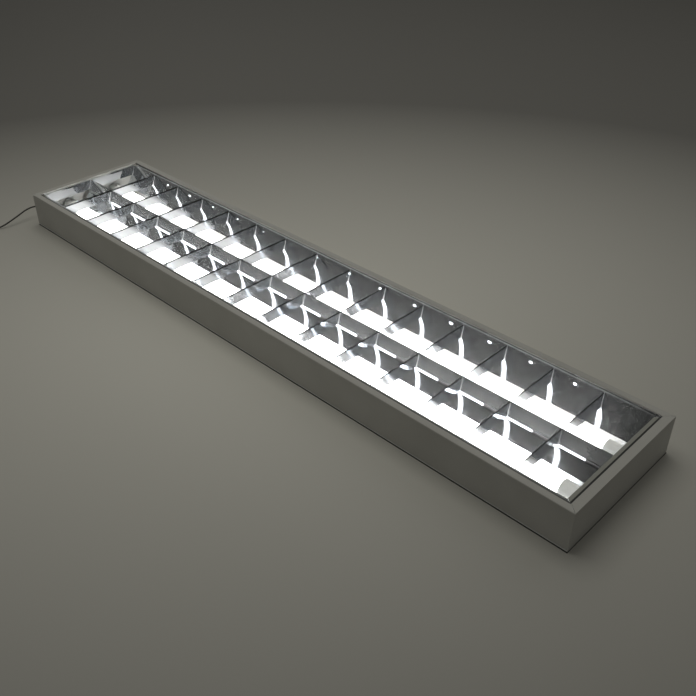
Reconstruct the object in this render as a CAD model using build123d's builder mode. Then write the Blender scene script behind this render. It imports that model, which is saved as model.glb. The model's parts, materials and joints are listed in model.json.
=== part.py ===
"""Slim two-lamp louvre light: steel tray, parabolic mirror louvre and two LED tubes.

Millimetres.  The origin is the middle of the back plate's outer face, the face
that goes against the ceiling.  +X runs along the light, +Z is the way it shines.
"""
from build123d import *
from math import cos, hypot, pi, radians, sin, sqrt, tan
import os

# ---------------------------------------------------------------- driving dimensions
length = 1240.0  # over the end walls
width = 248.0
height = 65.0
sheet = 0.8  # steel of the tray
bend = 1.6  # outside radius of the tray's folds
rim = 12.5  # in-turned rim round the light opening
hem = 5.5  # folded-back edge of the rim
hair = 0.2  # gap of the rims' mitred corners

louvre_top = 62.2  # light side of the louvre
louvre_shift = -4.6  # the springs push the louvre towards the lead's end
mirror = 0.5  # aluminium of the louvre
channel_edge = 106.1  # half the clear width of the louvre
ridge = 0.3  # half the width of the centre ridge
blade_count = 14
blade_pitch = 81.3
end_cell = 74.7  # from an outer blade to the end plate
blade_depth = 18.0
blade_foot = 4.2  # half width of a blade at its open foot
blade_waist = 1.8  # control of the blade's sides at mid depth
blade_tip = 0.5  # half width of a blade at the light side
blade_sheet = 0.45
side_strip = 5.0  # flange along each long side of the louvre
far_strip = 9.2  # flange tucked under the far rim
near_strip = 8.7
strip_mitre = 7.5  # the end strips' corners are cut back so far
reflector_foot = 22.0  # lower edge of the side reflectors
fit_gap = 0.25  # clearance of the pieces that are slotted together
ridge_slot = 3.0  # depth of the notches that the blades' top strips lie in
ridge_slit = 1.2  # and half their width
tab_length = 2.4
tab_root = 2.0  # the tabs begin this far inside the side reflectors' edge
ridge_strip = 4.0  # half length of a blade's strip across the ridge
tab_low = 57.5  # the louvre's tabs pass through slots from this height
tab_high = 60.5
tab_slit = 1.5  # half width of the slots

tube_y = 53.2  # lamp axis from the middle of the tray
tube_z = 20.3
tube_radius = 12.7
tube_wall = 0.8
tube_length = 1199.4  # over the caps' faces
cap_radius = 13.2
cap_length = 35.0
cap_inner = 10.0  # the glass reaches this far into a cap
cap_bore = 12.75
cap_edge = 0.8  # bevel round a cap's face
cap_face = 2.0  # thickness of the face
pin_radius = 1.17
pin_length = 7.0
pin_spacing = 12.7
board_width = 10.0
board_sheet = 1.0
board_drop = 8.5  # board's face below the lamp's axis
led_count = 48
led_size = 3.0
led_height = 0.8

holder_width = 25.0
holder_depth = 18.0
holder_base = 1.8
holder_play = 0.5  # from a cap's face to its holder
rotor_radius = 8.9
rotor_bore = 8.96
rotor_depth = 5.0
rotor_hub = 7.5  # radius of the hub that joins the rotor's halves behind the pins
rotor_end = 9.0
cavity_radius = 10.0
cavity_end = 16.0
pin_slot = 3.0
bracket_sheet = 1.0
bracket_edge = 74.0  # half length of the bracket across the tray
bracket_top = 26.0
bracket_bridge = 8.0  # height of the bracket between the holders
bracket_foot = 14.0
groove = 2.0
contact_from = 5.8  # the contacts begin this far into a holder
contact_reach = 8.1  # from the lamp's axis
contact_sheet = 0.5
contact_width = 5.0
pin_room = 2.0  # behind the pins

slot_spacing_x = 900.0  # ceiling fixing slots
slot_spacing_y = 190.0
slot_length = 12.0
slot_width = 5.5

cover_half = 603.0
cover_drop = 0.9  # light gap under the louvre's centre reflector
cover_lip = 4.0  # height of the leaning lip along each side of the cover's top
lip_top = 10.3  # half width of the cover's top
lip_foot = 10.9
cover_shoulder = 21.0
skin = 0.6
foot_y = 32.0  # the cover's screws from the middle
foot_width = 9.0
dimple_height = 2.4
dimple_radius = 7.0
dimple_slope = 20
screw_radius = 1.5
screw_head = 3.2
screw_head_height = 1.8
screw_head_slope = 8
screw_slit = 0.8
screw_places = (-480.0, 0.0, 480.0)

lead_diameter = 3.0
lead_hole_y = -77.0
lead_hole_z = 22.0
lead_hole_radius = 4.5
bush_neck = 4.4
bush_flange = 6.5
bush_flange_depth = 1.6
relief_length = 6.0
relief_end = 2.3

block_x = -560.0  # terminal block
block_length = 30.0
block_height = 14.0
poles = 3
pole_pitch = 9.0
block_groove = (8.0, 1.2)  # between the poles, at each end
terminal_level = 5.0  # terminals' bores above the back plate
terminal_bore = 1.6
terminal_spread = 12.0  # between a terminal's two screws
terminal_well = 2.2
terminal_screw = 2.1
terminal_screw_low = 7.0
terminal_screw_length = 5.0
terminal_slit = (0.6, 2.0)  # width and depth
earth_x = -526.0
washer = (4.0, 0.8)
earth_head = (3.5, 3.0)
wire_radius = 0.81
wire_spacing = 2.16  # between the two wires of one terminal
wire_bend = 3.0
wire_rise = (590.0, 600.0)  # the wires climb over the bracket's bridge between these
wire_over_bridge = 3.0
alley_reach = 5.0  # wires behind the brackets
lead_entry = -585.0  # where the lead turns in under the cover
entry_width = 8.0
entry_height = 10.0

# ---------------------------------------------------------------- worked out from them
half = length / 2
inside = half - sheet  # inner face of the end walls
louvre_length = (blade_count - 1) * blade_pitch + 2 * end_cell
louvre_far = louvre_shift - louvre_length / 2
louvre_near = louvre_shift + louvre_length / 2
blade_bottom = louvre_top - blade_depth
blade_places = [louvre_far + end_cell + k * blade_pitch for k in range(blade_count)]
holder_front = tube_length / 2 + holder_play
lead_radius = lead_diameter / 2

# Each channel's mirror is a parabola with its focus on the lamp's axis, so the lamp's
# light leaves straight out and the lamp isn't seen in the mirror from the side.
channel_middle = (channel_edge + ridge) / 2
reach = channel_edge - channel_middle
rise = louvre_top - tube_z
focal = (hypot(reach, rise) - rise) / 2
vertex_z = tube_z - focal


def mirror_reach(z):
    """Distance of the parabola from its channel's middle plane at height z."""
    return sqrt(4 * focal * (z - vertex_z))


def flank(z_start, z_end, outward, shift=0.0):
    """Control points of a parabola flank of the +Y channel; it is one quadratic Bezier.

    outward is 1 for the side reflector's flank and -1 for the centre reflector's, and
    shift moves the flank away from the channel's middle, along Y.
    """
    reach_start = mirror_reach(z_start)
    reach_end = mirror_reach(z_end)
    reach_middle = (reach_start + reach_end) / 2
    z_middle = z_start + reach_start / (2 * focal) * (reach_middle - reach_start)
    points = ((reach_start, z_start), (reach_middle, z_middle), (reach_end, z_end))
    return [(channel_middle + outward * (distance + shift), z) for distance, z in points]


def flipped(points):
    """The same points mirrored in the first coordinate, in the opposite order."""
    return [(-y, z) for y, z in reversed(points)]


def save(part, name):
    """Label a finished piece and write its file."""
    part.label = name
    export_step(part, f"parts/{name}.step")


os.makedirs("parts", exist_ok=True)

# ================================================================ housing
# ---------------------------------------------------------------- tray
# One folded sheet: back plate, two long walls and their in-turned, hemmed rims.
# The cover's screws end in raised dimples, so that their tips stay off the ceiling.
with BuildPart() as tray:
    with BuildSketch(Plane.YZ) as section:
        with Locations((0, height / 2)):
            Rectangle(width, height)
        fillet(section.vertices(), bend)
        offset(amount=-sheet, mode=Mode.SUBTRACT)
        with Locations((0, height)):
            Rectangle(width - 2 * rim, 4 * sheet, mode=Mode.SUBTRACT)
        for side in (-1, 1):
            with Locations((side * (width / 2 - rim + hem / 2), height - 1.5 * sheet)):
                Rectangle(hem, sheet)
    extrude(amount=inside, both=True)
    # mitred ends of the rims
    with BuildSketch(Plane.XY.offset(height)):
        for end in (-1, 1):
            for side in (-1, 1):
                outer_y = side * (width / 2 - sheet)
                inner_y = side * (width / 2 - rim)
                with BuildLine():
                    Polyline(
                        (end * (inside - hair), outer_y),
                        (end * (half - rim - hair), inner_y),
                        (end * half, inner_y),
                        (end * half, outer_y),
                        close=True,
                    )
                make_face()
    extrude(amount=-3 * sheet, mode=Mode.SUBTRACT)
    # raised dimples and their screw holes
    with BuildSketch(Plane.XY):
        for x in screw_places:
            with Locations((x, foot_y), (x, -foot_y)):
                Circle(dimple_radius)
    extrude(amount=sheet + dimple_height, taper=dimple_slope)
    with BuildSketch(Plane.XY):
        for x in screw_places:
            with Locations((x, foot_y), (x, -foot_y)):
                Circle(dimple_radius - sheet)
    extrude(amount=dimple_height, taper=dimple_slope, mode=Mode.SUBTRACT)
    with BuildSketch(Plane.XY):
        for x in screw_places:
            with Locations((x, foot_y), (x, -foot_y)):
                Circle(screw_radius)
    extrude(amount=height / 2, mode=Mode.SUBTRACT)
    # slots for the ceiling screws
    with BuildSketch(Plane.XY):
        with GridLocations(slot_spacing_x, slot_spacing_y, 2, 2):
            SlotOverall(slot_length, slot_width)
    extrude(amount=sheet, mode=Mode.SUBTRACT)
save(tray.part, "tray")

# ---------------------------------------------------------------- end walls
# A plate with a mitred, hemmed rim and a foot folded in on the back plate.
foot_reach = 8.0
foot_length = 150.0
for end, name in ((-1, "end_wall_far"), (1, "end_wall_near")):
    with BuildPart() as end_wall:
        with BuildSketch(Plane.YZ.offset(end * half)) as plate:
            with Locations((0, height / 2)):
                Rectangle(width, height)
            fillet(plate.vertices(), bend)
            if end < 0:
                with Locations((lead_hole_y, lead_hole_z)):
                    Circle(lead_hole_radius, mode=Mode.SUBTRACT)
        extrude(amount=-end * sheet)
        with BuildSketch(Plane.XY.offset(height)):
            with BuildLine():
                Polyline(
                    (end * inside, -width / 2 + bend),
                    (end * inside, width / 2 - bend),
                    (end * (half - rim), width / 2 - rim),
                    (end * (half - rim), -width / 2 + rim),
                    close=True,
                )
            make_face()
        extrude(amount=-sheet)
        with BuildSketch(Plane.XY.offset(height - sheet)):
            with Locations((end * (half - rim + hem / 2), 0)):
                Rectangle(hem, width - 2 * rim)
        extrude(amount=-sheet)
        with BuildSketch(Plane.XY.offset(sheet)):
            with Locations((end * (inside - foot_reach / 2), 0)):
                Rectangle(foot_reach, foot_length)
        extrude(amount=sheet)
    save(end_wall.part, name)

# ---------------------------------------------------------------- lampholder brackets
# A steel angle across each end; the lampholders slide down into its two cut-outs.
bracket_x = holder_front + holder_depth / 2
for end, name in ((-1, "bracket_far"), (1, "bracket_near")):
    with BuildPart() as bracket:
        with BuildSketch(Plane.YZ.offset(end * bracket_x)):
            with Locations((0, sheet)):
                Rectangle(2 * bracket_edge, bracket_top - sheet, align=(Align.CENTER, Align.MIN))
            low = 2 * (tube_y - holder_width / 2 - 2 * groove)
            with Locations((0, bracket_bridge)):
                Rectangle(low, bracket_top, align=(Align.CENTER, Align.MIN), mode=Mode.SUBTRACT)
            for side in (-1, 1):
                with Locations((side * tube_y, sheet + bracket_sheet)):
                    gap = holder_width - 2 * groove
                    Rectangle(gap, bracket_top, align=(Align.CENTER, Align.MIN), mode=Mode.SUBTRACT)
        extrude(amount=end * bracket_sheet)
        with BuildSketch(Plane.XY.offset(sheet)):
            with Locations((end * (bracket_x - bracket_foot / 2), 0)):
                Rectangle(bracket_foot, 2 * bracket_edge)
        extrude(amount=bracket_sheet)
    save(bracket.part, name)

# ---------------------------------------------------------------- lampholders
# Two-pin holder: a round bore for the rotor, a cavity for the contacts behind it, the
# slot by which the pins come in, and a groove down each side for the bracket.
groove_clearance = 0.1
holders = [(end, side) for end in (-1, 1) for side in (-1, 1)]
end_word = {-1: "far", 1: "near"}
side_word = {-1: "front", 1: "back"}
for end, side in holders:
    axis_y = side * tube_y
    with BuildPart() as holder:
        with BuildSketch(Plane.YZ.offset(end * holder_front)):
            with Locations((axis_y, holder_base)):
                Rectangle(holder_width, tube_z - holder_base, align=(Align.CENTER, Align.MIN))
            with Locations((axis_y, tube_z)):
                Circle(holder_width / 2)
        extrude(amount=end * holder_depth)
        with BuildSketch(Plane.YZ.offset(end * holder_front)):
            with Locations((axis_y, tube_z)):
                Circle(rotor_bore)
        extrude(amount=end * rotor_depth, mode=Mode.SUBTRACT)
        with BuildSketch(Plane.YZ.offset(end * (holder_front + rotor_depth))):
            with Locations((axis_y, tube_z)):
                Circle(cavity_radius)
        extrude(amount=end * (cavity_end - rotor_depth), mode=Mode.SUBTRACT)
        with BuildSketch(Plane.YZ.offset(end * holder_front)):
            with Locations((axis_y, tube_z)):
                Rectangle(pin_slot, holder_width, align=(Align.CENTER, Align.MIN))
        extrude(amount=end * (pin_length + pin_room), mode=Mode.SUBTRACT)
        with BuildSketch(Plane.XY.offset(holder_base)):
            groove_middle = bracket_x + bracket_sheet / 2
            for edge in (-1, 1):
                with Locations((end * groove_middle, axis_y + edge * holder_width / 2)):
                    Rectangle(bracket_sheet + 2 * groove_clearance, 2 * groove)
        extrude(amount=bracket_top, mode=Mode.SUBTRACT)
    save(holder.part, f"holder_{end_word[end]}_{side_word[side]}")

# Bronze contact springs stand beside the pins, in the cavities behind the rotors.
with BuildPart() as contacts:
    for end, side in holders:
        with BuildSketch(Plane.YZ.offset(end * (holder_front + contact_from))):
            for edge in (-1, 1):
                with Locations((side * tube_y + edge * contact_reach, tube_z)):
                    Rectangle(contact_sheet, contact_width)
        extrude(amount=end * (cavity_end - contact_from))
save(contacts.part, "holder_contacts")

# ---------------------------------------------------------------- centre cover
# Mirror tent over the wiring.  Its flanks carry on the parabolas under the louvre's
# centre reflector.  The lips that stiffen its top lean so that the lamps show in them
# as a bright line, and its feet are screwed down on the dimples.
cover_top = blade_bottom - cover_drop
ledge = cover_top - cover_lip
foot_level = sheet + dimple_height
tent = flank(ledge, cover_shoulder, -1)
shoulder_y = tent[2][0]
tent_inside = [(y - skin, z - skin / 2) for y, z in tent]
lips = [(lip_top, cover_top), (lip_foot, ledge)]
lips_inside = [(y - skin, z - skin) for y, z in lips]
with BuildPart() as centre_cover:
    with BuildSketch(Plane.YZ.offset(-cover_half)):
        outer = (tent, lips, foot_level, Mode.ADD)
        inner = (tent_inside, lips_inside, 0, Mode.SUBTRACT)
        for curve, upper, base, mode in (outer, inner):
            with BuildLine():
                Bezier(*curve)
                Polyline(curve[2], (curve[2][0], base), (-curve[2][0], base), flipped(curve)[0])
                Bezier(*flipped(curve))
                Polyline(flipped(curve)[2], *flipped(upper), *upper, curve[0])
            make_face(mode=mode)
        for side in (-1, 1):
            with Locations((side * (shoulder_y + foot_width / 2 - skin), foot_level + skin / 2)):
                Rectangle(foot_width, skin)
    extrude(amount=2 * cover_half)
    with BuildSketch(Plane.XY.offset(foot_level)):
        for x in screw_places:
            with Locations((x, foot_y), (x, -foot_y)):
                Circle(screw_radius)
    extrude(amount=skin, mode=Mode.SUBTRACT)
    # notch for the supply lead
    with BuildSketch(Plane.XZ.offset(shoulder_y - skin)):
        with Locations((lead_entry, 0)):
            Rectangle(entry_width, entry_height, align=(Align.CENTER, Align.MIN))
    extrude(amount=foot_width + skin, mode=Mode.SUBTRACT)
save(centre_cover.part, "centre_cover")

# Pan-head screws with a slot, in the cover's feet.
with BuildPart() as cover_screws:
    for x in screw_places:
        for side in (-1, 1):
            with BuildSketch(Plane.XY.offset(foot_level + skin)):
                with Locations((x, side * foot_y)):
                    Circle(screw_head)
            extrude(amount=screw_head_height, taper=screw_head_slope)
            with BuildSketch(Plane.XY.offset(foot_level + skin)):
                with Locations((x, side * foot_y)):
                    Circle(screw_radius)
            extrude(amount=-(foot_level + skin - hair))
    with BuildSketch(Plane.XY.offset(foot_level + skin + screw_head_height)):
        for x in screw_places:
            with Locations((x, foot_y), (x, -foot_y)):
                Rectangle(2 * screw_head, screw_slit)
    extrude(amount=-screw_head_height / 2, mode=Mode.SUBTRACT)
save(cover_screws.part, "cover_screws")

# ---------------------------------------------------------------- terminal block
with BuildPart() as terminal_block:
    with BuildSketch(Plane.XY.offset(sheet)):
        with Locations((block_x, 0)):
            Rectangle(block_length, poles * pole_pitch)
            with GridLocations(block_length - block_groove[0] / 2, pole_pitch, 2, poles - 1):
                Rectangle(*block_groove, mode=Mode.SUBTRACT)
    extrude(amount=block_height)
    with BuildSketch(Plane.YZ.offset(block_x - block_length / 2)):
        with Locations((0, sheet + terminal_level)):
            with GridLocations(pole_pitch, 1, poles, 1):
                Circle(terminal_bore)
    extrude(amount=block_length, mode=Mode.SUBTRACT)
    with BuildSketch(Plane.XY.offset(sheet + block_height)):
        with Locations((block_x, 0)):
            with GridLocations(terminal_spread, pole_pitch, 2, poles):
                Circle(terminal_well)
    extrude(amount=terminal_level - block_height, mode=Mode.SUBTRACT)
save(terminal_block.part, "terminal_block")

with BuildPart() as terminal_screws:
    with BuildSketch(Plane.XY.offset(sheet + terminal_screw_low)):
        with Locations((block_x, 0)):
            with GridLocations(terminal_spread, pole_pitch, 2, poles):
                Circle(terminal_screw)
    extrude(amount=terminal_screw_length)
    with BuildSketch(Plane.XY.offset(sheet + terminal_screw_low + terminal_screw_length)):
        with Locations((block_x, 0)):
            with GridLocations(terminal_spread, pole_pitch, 2, poles):
                Rectangle(2 * terminal_screw, terminal_slit[0])
    extrude(amount=-terminal_slit[1], mode=Mode.SUBTRACT)
save(terminal_screws.part, "terminal_screws")

with BuildPart() as earth_screw:
    with BuildSketch(Plane.XY.offset(sheet)):
        with Locations((earth_x, 0)):
            Circle(washer[0])
    extrude(amount=washer[1])
    with BuildSketch(Plane.XY.offset(sheet + washer[1])):
        with Locations((earth_x, 0)):
            RegularPolygon(earth_head[0], 6)
    extrude(amount=earth_head[1])
save(earth_screw.part, "earth_screw")


# ---------------------------------------------------------------- wiring
def round_run(route, radius, bend_radius):
    """A wire of round section along straight runs joined by arcs of one radius."""
    with BuildPart() as run:
        with BuildLine():
            path = FilletPolyline(*route, radius=bend_radius)
        with BuildSketch(Plane(origin=path @ 0, z_dir=path % 0)):
            Circle(radius)
        sweep()
    return run.part


wire_level = sheet + terminal_level
far_end_of_block = block_x - block_length / 2
near_end_of_block = block_x + block_length / 2
alley = bracket_x + alley_reach  # between the brackets and the end walls
holder_side = tube_y - holder_width / 2
lift = bracket_bridge + wire_over_bridge
for end, name, pole in ((-1, "wires_live", -1), (1, "wires_neutral", 1)):
    runs = []
    for side in (-1, 1):
        wire_y = pole * pole_pitch + side * wire_spacing / 2
        route = [
            (far_end_of_block if end < 0 else near_end_of_block, wire_y, wire_level),
            (end * wire_rise[0], wire_y, wire_level),
            (end * wire_rise[1], wire_y, lift),
            (end * alley, wire_y, lift),
            (end * alley, side * holder_side, lift),
        ]
        runs.append(round_run(route, wire_radius, wire_bend))
    save(Compound(children=runs), name)

# The earth wire comes down on the washer's edge.
earth_level = sheet + washer[1] / 2 + wire_radius
earth_touch = earth_x - washer[0]
earth_run = 8.0
earth_land = 2.0
earth_route = [
    (near_end_of_block, 0, wire_level),
    (near_end_of_block + earth_run, 0, wire_level),
    (earth_touch - earth_land, 0, earth_level),
    (earth_touch, 0, earth_level),
]
save(round_run(earth_route, wire_radius, 1.0), "wire_earth")

lead_level = sheet + bracket_sheet + lead_radius
drop_from = 9.0  # the lead bends down this far inside the end wall
drop_over = 3.0
step_in = 12.0
inner_bend = 2.0
inner_route = [
    (-(inside - bush_flange_depth), lead_hole_y, lead_hole_z),
    (-inside + drop_from, lead_hole_y, lead_hole_z),
    (-inside + drop_from + drop_over, lead_hole_y, lead_level),
    (lead_entry, lead_hole_y + step_in, lead_level),
    (lead_entry, 0, lead_level),
    (far_end_of_block, 0, wire_level),
]
save(round_run(inner_route, lead_radius, inner_bend), "inner_lead")

# ---------------------------------------------------------------- lead bush
# Moulded bush: a flange each side of the end wall and a tapered strain relief.
with BuildPart() as lead_bush:
    with BuildSketch(Plane.XY):
        with BuildLine():
            Polyline(
                (lead_radius, inside - bush_flange_depth),
                (bush_flange, inside - bush_flange_depth),
                (bush_flange, inside),
                (bush_neck, inside),
                (bush_neck, half),
                (bush_flange, half),
                (bush_flange, half + bush_flange_depth),
                (bush_neck, half + bush_flange_depth),
                (relief_end, half + relief_length),
                (lead_radius, half + relief_length),
                close=True,
            )
        make_face()
    revolve(axis=Axis.Y)
bush = Location((0, lead_hole_y, lead_hole_z)) * Rotation(0, 0, 90) * lead_bush.part
save(bush, "lead_bush")

# ---------------------------------------------------------------- louvre springs
# Two bowed leaves on the near end wall press the louvre towards the far end.
spring_y = 86.0
spring_width = 12.0
spring_sheet = 0.5
spring_low = 12.0
spring_high = 57.0
spring_tab = 8.0
spring_bow = 17.3
with BuildPart() as louvre_springs:
    for side in (-1, 1):
        with BuildSketch(Plane.XZ.offset(side * spring_y - spring_width / 2)):
            with BuildLine():
                spring_x = inside - spring_sheet / 2
                bowed = (inside - spring_bow, (spring_low + spring_high) / 2)
                Line((spring_x, spring_low - spring_tab), (spring_x, spring_low))
                ThreePointArc((spring_x, spring_low), bowed, (spring_x, spring_high))
            trace(line_width=spring_sheet)
        extrude(amount=spring_width)
save(louvre_springs.part, "louvre_springs")

# ================================================================ louvre
# ---------------------------------------------------------------- side reflectors
side_flank = flank(louvre_top, reflector_foot, 1)
side_back = flank(louvre_top - mirror, reflector_foot, 1, shift=mirror)
for side, name in ((-1, "side_reflector_front"), (1, "side_reflector_back")):
    with BuildPart() as side_reflector:
        with BuildSketch(Plane.YZ.offset(louvre_far)):
            with BuildLine():
                front = [(side * y, z) for y, z in side_flank]
                back = [(side * y, z) for y, z in side_back]
                strip_y = side * (channel_edge + side_strip)
                Bezier(*front)
                Line(front[2], back[2])
                Bezier(*back)
                Polyline(
                    back[0],
                    (strip_y, louvre_top - mirror),
                    (strip_y, louvre_top),
                    front[0],
                )
            make_face()
        extrude(amount=louvre_length)
        # slots for the tabs of the blades and the end plates
        with BuildSketch(Plane.XZ.offset(-side * channel_edge)):
            for x in [louvre_far, *blade_places, louvre_near]:
                with Locations((x, (tab_low + tab_high) / 2)):
                    Rectangle(2 * tab_slit, tab_high - tab_low)
        extrude(amount=2 * side_strip, both=True, mode=Mode.SUBTRACT)
    save(side_reflector.part, name)

# ---------------------------------------------------------------- centre reflector
# Two parabola flanks folded back to back at the ridge.
centre_face = flank(louvre_top, blade_bottom, -1)
apex_z = vertex_z + (channel_middle - mirror) ** 2 / (4 * focal)
centre_inside = flank(apex_z, blade_bottom, -1, shift=mirror)
with BuildPart() as centre_reflector:
    with BuildSketch(Plane.YZ.offset(louvre_far + fit_gap)):
        with BuildLine():
            Bezier(*centre_face)
            Line(centre_face[2], centre_inside[2])
            Bezier(*centre_inside)
            Bezier(*flipped(centre_inside))
            Line(flipped(centre_inside)[0], flipped(centre_face)[0])
            Bezier(*flipped(centre_face))
            Line(flipped(centre_face)[2], centre_face[0])
        make_face()
    extrude(amount=louvre_length - 2 * fit_gap)
    # notches in the ridge for the blades' top strips
    with BuildSketch(Plane.XZ):
        for x in blade_places:
            with Locations((x, louvre_top)):
                Rectangle(2 * ridge_slit, 2 * ridge_slot)
    extrude(amount=width, both=True, mode=Mode.SUBTRACT)
    # its ends lean with the end plates' faces
    with BuildSketch(Plane.XZ):
        for end_x, lean in ((louvre_far, 1), (louvre_near, -1)):
            with BuildLine():
                Polyline(
                    (end_x + lean * fit_gap, louvre_top),
                    (end_x + lean * (blade_foot + fit_gap), blade_bottom),
                    (end_x - lean * blade_foot, blade_bottom),
                    (end_x - lean * blade_foot, louvre_top),
                    close=True,
                )
            make_face()
    extrude(amount=width, both=True, mode=Mode.SUBTRACT)
save(centre_reflector.part, "centre_reflector")


# ---------------------------------------------------------------- blades and end plates
def louvre_window(with_flange):
    """The louvre's cross-section that blades and end plates fill, as a sketch on YZ."""
    with BuildSketch(Plane.YZ) as window:
        edge = [(y - fit_gap, z) for y, z in flank(louvre_top, blade_bottom, 1)]
        with BuildLine():
            Bezier(*edge)
            Line(edge[2], flipped(edge)[0])
            Bezier(*flipped(edge))
            Line(flipped(edge)[2], edge[0])
        make_face()
        notch = [(y + fit_gap, z) for y, z in centre_face]
        with BuildLine():
            Bezier(*notch)
            Line(notch[2], flipped(notch)[0])
            Bezier(*flipped(notch))
            Line(flipped(notch)[2], notch[0])
        make_face(mode=Mode.SUBTRACT)
        with Locations((0, louvre_top)):
            Rectangle(2 * ridge_strip, ridge_slot, align=(Align.CENTER, Align.MAX))
        if with_flange:
            with Locations((0, louvre_top - mirror / 2)):
                Rectangle(2 * (channel_edge + side_strip), mirror)
        for side in (-1, 1):
            with Locations((side * (channel_edge - tab_root), tab_low)):
                align = (Align.MIN if side > 0 else Align.MAX, Align.MIN)
                Rectangle(tab_root + tab_length, tab_high - tab_low, align=align)
    return window.sketch


# A blade is one strip folded to a V that is closed at the light side and open below.
blade_middle = (louvre_top + blade_bottom) / 2
blade_outside = [(-blade_tip, louvre_top), (-blade_waist, blade_middle), (-blade_foot, blade_bottom)]
blade_inside = [
    (-blade_foot + blade_sheet, blade_bottom),
    (-blade_waist + blade_sheet, blade_middle),
    (0, louvre_top - ridge_slot),
]
with BuildPart() as blade:
    with BuildSketch(Plane.XZ):
        with BuildLine():
            Bezier(*blade_outside)
            Line(blade_outside[2], blade_inside[0])
            Bezier(*blade_inside)
            Bezier(*flipped(blade_inside))
            Line(flipped(blade_inside)[2], flipped(blade_outside)[0])
            Bezier(*flipped(blade_outside))
            Line(flipped(blade_outside)[2], blade_outside[0])
        make_face()
    extrude(amount=channel_edge + tab_length, both=True)
    window = louvre_window(with_flange=False)
    extrude(window, amount=2 * blade_foot, both=True, mode=Mode.INTERSECT)
for number, x in enumerate(blade_places, start=1):
    save(Location((x, 0, 0)) * blade.part, f"blade_{number:02d}")

# An end plate is half a blade with the end strip folded out at its light side.
for end, name, strip in ((-1, "louvre_end_far", far_strip), (1, "louvre_end_near", near_strip)):
    face_x = louvre_far if end < 0 else louvre_near
    with BuildPart() as louvre_end:
        with BuildSketch(Plane.XZ):
            with BuildLine():
                Polyline(
                    (face_x, louvre_top),
                    (face_x - end * blade_foot, blade_bottom),
                    (face_x - end * (blade_foot - mirror), blade_bottom),
                    (face_x + end * mirror, louvre_top - mirror),
                    (face_x + end * strip, louvre_top - mirror),
                    (face_x + end * strip, louvre_top),
                    close=True,
                )
            make_face()
        extrude(amount=channel_edge + side_strip, both=True)
        window = louvre_window(with_flange=True)
        plate_place = Location((face_x, 0, 0)) * window
        extrude(plate_place, amount=2 * far_strip, both=True, mode=Mode.INTERSECT)
        # the end strip's corners are cut back at 45 degrees
        with BuildSketch(Plane.XY.offset(louvre_top)):
            for side in (-1, 1):
                with BuildLine():
                    Polyline(
                        (face_x - end, side * (channel_edge + side_strip)),
                        (face_x - end, side * (channel_edge + side_strip - strip_mitre)),
                        (face_x, side * (channel_edge + side_strip - strip_mitre)),
                        (face_x + end * strip_mitre, side * (channel_edge + side_strip)),
                        close=True,
                    )
                make_face()
        extrude(amount=-mirror, mode=Mode.SUBTRACT)
    save(louvre_end.part, name)

# ================================================================ lamps
# Opal tube over a board of diodes, a cap with two pins at each end, and the rotors of
# the lampholders, which turn with the pins.
cap_inside = tube_length / 2 - cap_length
glass_half = cap_inside + cap_inner
board_z = tube_z - board_drop
for side in (-1, 1):
    axis_y = side * tube_y
    lamp = f"lamp_{side_word[side]}"
    with BuildPart() as glass:
        with BuildSketch(Plane.YZ):
            with Locations((axis_y, tube_z)):
                Circle(tube_radius)
                Circle(tube_radius - tube_wall, mode=Mode.SUBTRACT)
        extrude(amount=glass_half, both=True)
    save(glass.part, f"{lamp}_glass")

    with BuildPart() as board:
        with BuildSketch(Plane.YZ):
            # silicone bed along the glass
            with Locations((axis_y, tube_z)):
                Circle(tube_radius - tube_wall)
            with Locations((axis_y, board_z - board_sheet)):
                align = (Align.CENTER, Align.MIN)
                Rectangle(2 * tube_radius, 2 * tube_radius, align=align, mode=Mode.SUBTRACT)
            with Locations((axis_y, board_z - board_sheet / 2)):
                Rectangle(board_width, board_sheet)
        extrude(amount=glass_half, both=True)
    save(board.part, f"{lamp}_board")

    with BuildPart() as leds:
        with BuildSketch(Plane.XY.offset(board_z)):
            with Locations((0, axis_y)):
                with GridLocations(2 * cap_inside / led_count, 1, led_count, 1):
                    Rectangle(led_size, led_size)
        extrude(amount=led_height)
    save(leds.part, f"{lamp}_leds")

    for end in (-1, 1):
        with BuildPart() as cap:
            with BuildSketch(Plane.YZ.offset(end * cap_inside)):
                with Locations((axis_y, tube_z)):
                    Circle(cap_radius)
            extrude(amount=end * cap_length)
            outer_face = cap.faces().sort_by(Axis.X)[-1 if end > 0 else 0]
            chamfer(outer_face.edges(), cap_edge)
            with BuildSketch(Plane.YZ.offset(end * cap_inside)):
                with Locations((axis_y, tube_z)):
                    Circle(cap_bore)
            extrude(amount=end * (cap_length - cap_face), mode=Mode.SUBTRACT)
        save(cap.part, f"{lamp}_cap_{end_word[end]}")

    with BuildPart() as pins:
        for end in (-1, 1):
            with BuildSketch(Plane.YZ.offset(end * tube_length / 2)):
                with Locations((axis_y, tube_z)):
                    with GridLocations(pin_spacing, 1, 2, 1):
                        Circle(pin_radius)
            extrude(amount=end * pin_length)
    save(pins.part, f"{lamp}_pins")

    with BuildPart() as rotors:
        for end in (-1, 1):
            with BuildSketch(Plane.YZ.offset(end * holder_front)):
                with Locations((axis_y, tube_z)):
                    Circle(rotor_radius)
            extrude(amount=end * rotor_depth)
            with BuildSketch(Plane.YZ.offset(end * (holder_front + rotor_depth))):
                with Locations((axis_y, tube_z)):
                    Circle(rotor_hub)
            extrude(amount=end * (rotor_end - rotor_depth))
            with BuildSketch(Plane.YZ.offset(end * holder_front)):
                with Locations((axis_y, tube_z)):
                    Rectangle(2 * rotor_radius, pin_slot)
            extrude(amount=end * (pin_length + hair), mode=Mode.SUBTRACT)
    save(rotors.part, f"{lamp}_rotors")

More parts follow.
